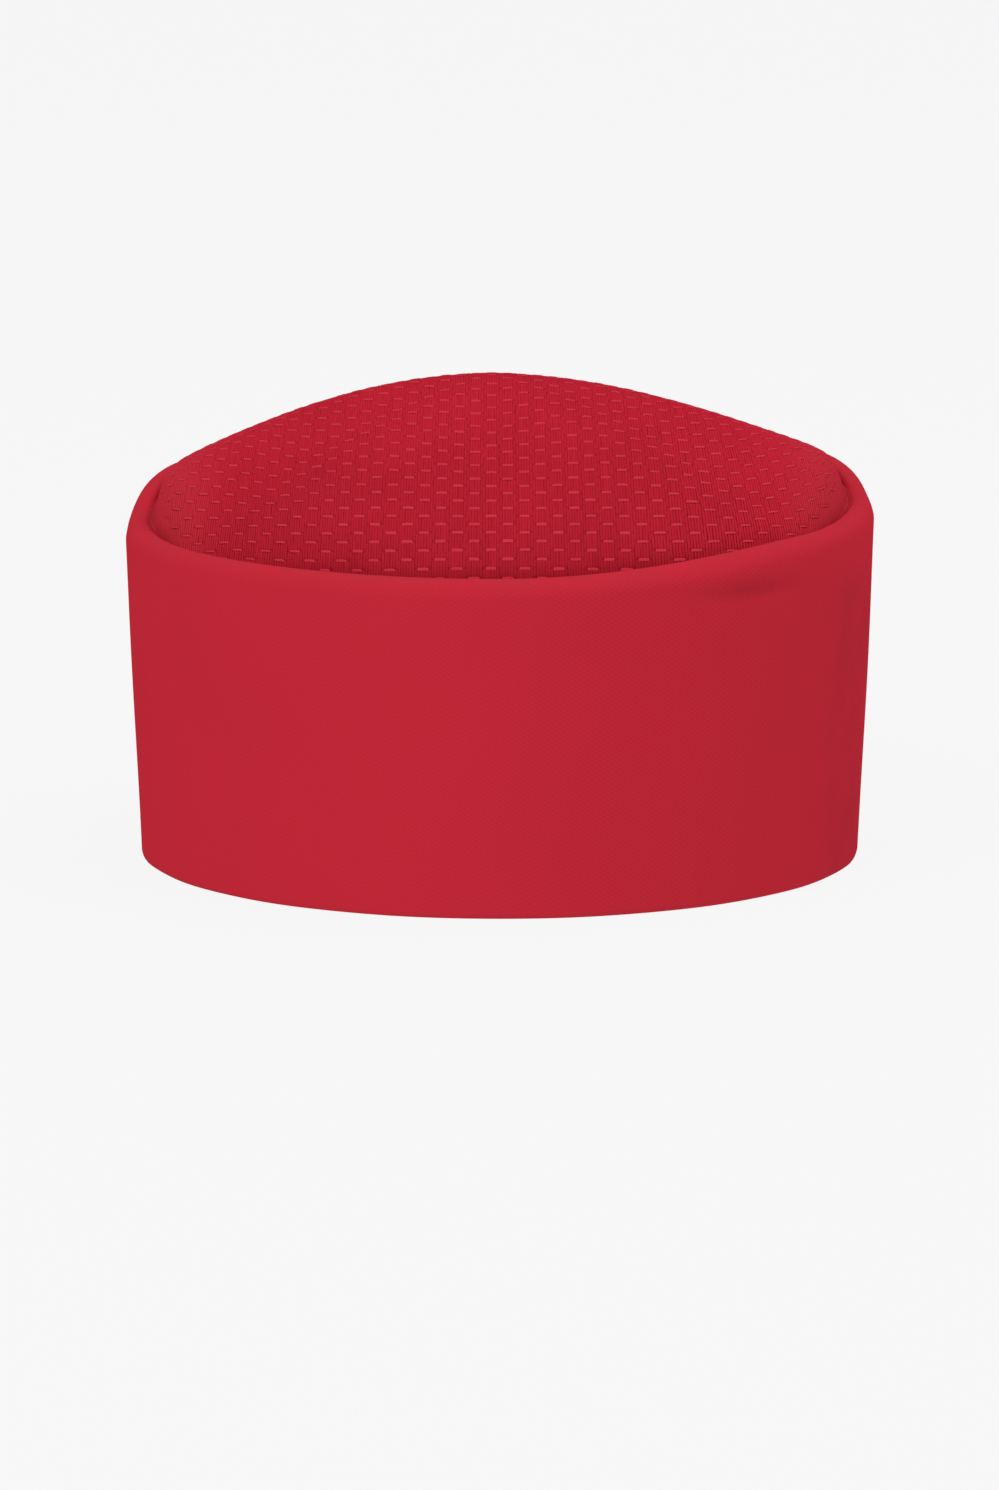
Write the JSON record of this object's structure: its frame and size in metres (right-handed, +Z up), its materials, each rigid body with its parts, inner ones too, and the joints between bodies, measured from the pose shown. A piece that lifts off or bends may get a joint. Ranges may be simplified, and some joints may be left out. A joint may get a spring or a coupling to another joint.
{
  "type": "chef's skull cap",
  "caption": "Soft pillbox kitchen cap with a tall plain twill band, a rolled top edge and a domed mesh-weave crown, standing open on its hem.",
  "frame": {"origin": "middle of the cap's outline at the level of its hem", "axes": "+Z up from the hem to the crown, -Y towards the cap's front, +X to the left of someone who wears it"},
  "size_m": [0.1836, 0.2175, 0.1194],
  "materials": {
    "twill": "matt red twill",
    "mesh_weave": "matt red mesh weave"
  },
  "bodies": {
    "root": {"band": "twill", "crown": "mesh_weave"}
  },
  "joints": []
}
